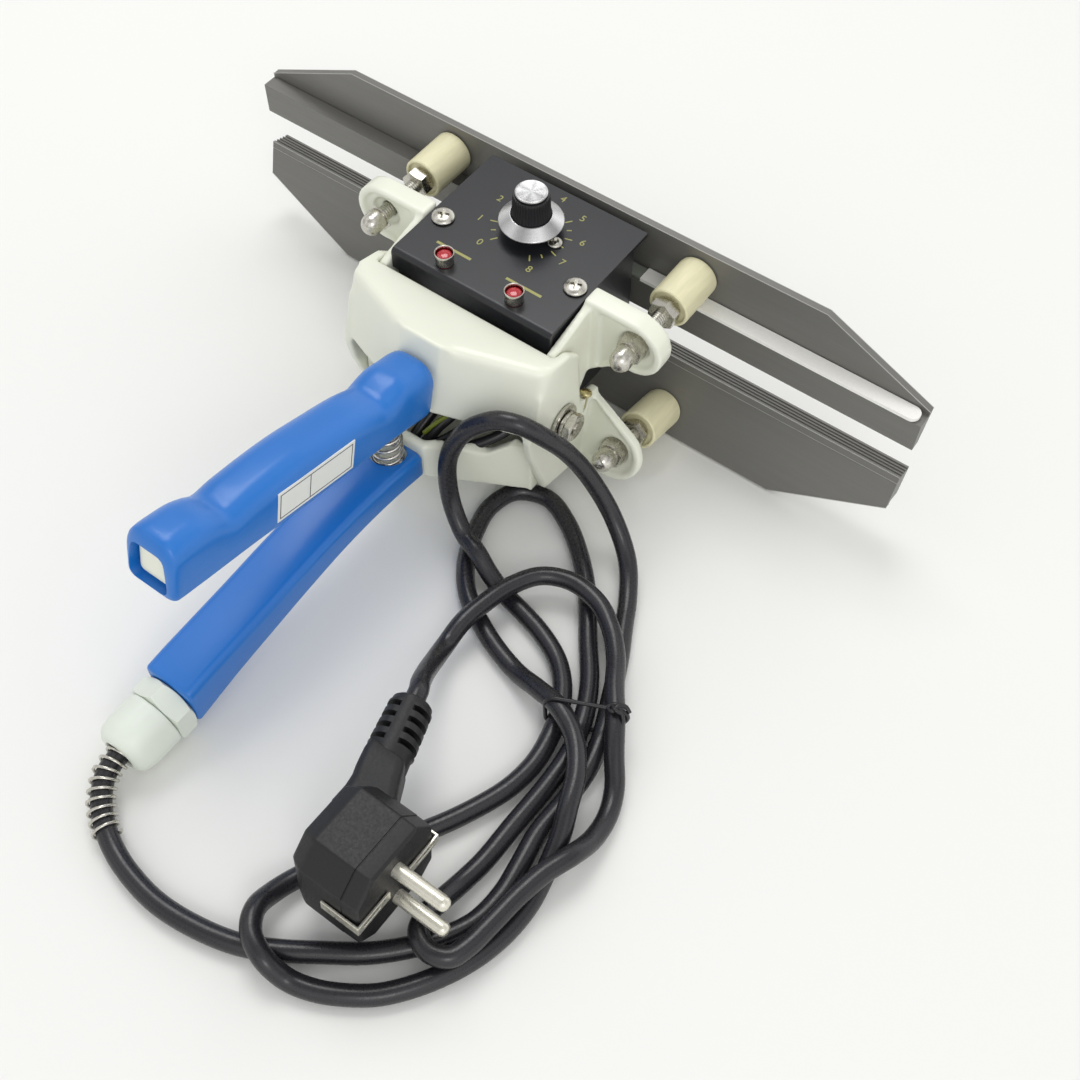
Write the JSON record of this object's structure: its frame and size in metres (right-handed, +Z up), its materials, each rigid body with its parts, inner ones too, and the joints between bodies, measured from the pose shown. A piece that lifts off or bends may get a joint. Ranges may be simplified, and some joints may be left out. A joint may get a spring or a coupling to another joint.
{
  "type": "handheld heat sealer",
  "caption": "Handheld heat sealer: long hinged jaws worked by sprung grips, with a control box, dial knob, pilot lamps and a tied mains lead with its plug.",
  "frame": {"origin": "centre of the bounding box of the sealer without its lead, on the table", "axes": "+Z up, +Y from the grips to the jaws, +X along the jaws to the right"},
  "size_m": [0.3, 0.277, 0.1017],
  "materials": {
    "casting": "cream satin coating on cast metal",
    "grip": "smooth blue soft plastic",
    "jaw": "dark satin metal",
    "zinc": "bright zinc plate",
    "steel": "polished",
    "ceramic": "unglazed cream ceramic",
    "panel": "satin black sheet",
    "black": "black moulded plastic",
    "aluminium": "turned aluminium",
    "lens": "clear dark red",
    "board": "green laminate",
    "brass": "plain brass",
    "gland": "pale grey-green nylon",
    "cord": "dark satin sheath"
  },
  "bodies": {
    "lower_arm": {"lower_handle_frame": "casting", "lower_grip_sleeve": "grip", "upper_jaw": "jaw", "upper_heating_strip": "zinc", "dial_screw": "zinc", "potentiometer": "zinc", "handle_spring": "zinc", "upper_right_stud": "zinc", "upper_right_jaw_screw": "zinc", "upper_left_stud": "zinc", "upper_left_jaw_screw": "zinc", "left_cover_screw": "steel", "right_cover_screw": "steel", "left_lamp_bezel": "steel", "right_lamp_bezel": "steel", "strain_relief_spring": "steel", "plug_upper_pin": "steel", "plug_lower_pin": "steel", "plug_near_earth_clip": "steel", "plug_far_earth_clip": "steel", "upper_right_acorn_nut": "steel", "upper_right_lock_nut": "steel", "upper_left_acorn_nut": "steel", "upper_left_lock_nut": "steel", "right_hinge_bolt": "steel", "right_hinge_washer": "steel", "right_hinge_nut": "steel", "left_hinge_bolt": "steel", "left_hinge_washer": "steel", "left_hinge_nut": "steel", "upper_right_insulator": "ceramic", "upper_left_insulator": "ceramic", "control_box": "panel", "control_box_cover": "panel", "cord_tie": "black", "plug_body": "black", "left_lamp": "lens", "right_lamp": "lens", "circuit_board": "board", "gland_body": "gland", "gland_nut": "gland", "power_cord": "cord"},
    "upper_arm": {"upper_handle_frame": "casting", "upper_grip_sleeve": "grip", "lower_jaw": "jaw", "lower_heating_strip": "zinc", "earth_screw": "brass", "lower_right_stud": "zinc", "lower_right_insulator": "ceramic", "lower_right_acorn_nut": "steel", "lower_right_lock_nut": "steel", "lower_right_jaw_screw": "zinc", "lower_left_stud": "zinc", "lower_left_insulator": "ceramic", "lower_left_acorn_nut": "steel", "lower_left_lock_nut": "steel", "lower_left_jaw_screw": "zinc"},
    "knob": {"knob_body": "black", "knob_skirt": "aluminium", "knob_cap": "aluminium"}
  },
  "joints": [
    {"name": "jaw_hinge", "type": "hinge", "parent": "lower_arm", "child": "upper_arm", "pos_m": [0, 0.05597, 0.0422], "axis": [1, 0, 0], "range_deg": [0, 14.3], "stiffness_Nm_per_rad": 4, "springref_deg": -20.05, "deforming": ["handle_spring"]},
    {"name": "knob_turn", "type": "hinge", "parent": "lower_arm", "child": "knob", "pos_m": [0, 0.09197, 0.08327], "axis": [0, -0.0939, 0.9956], "range_deg": [-270, 0]}
  ]
}
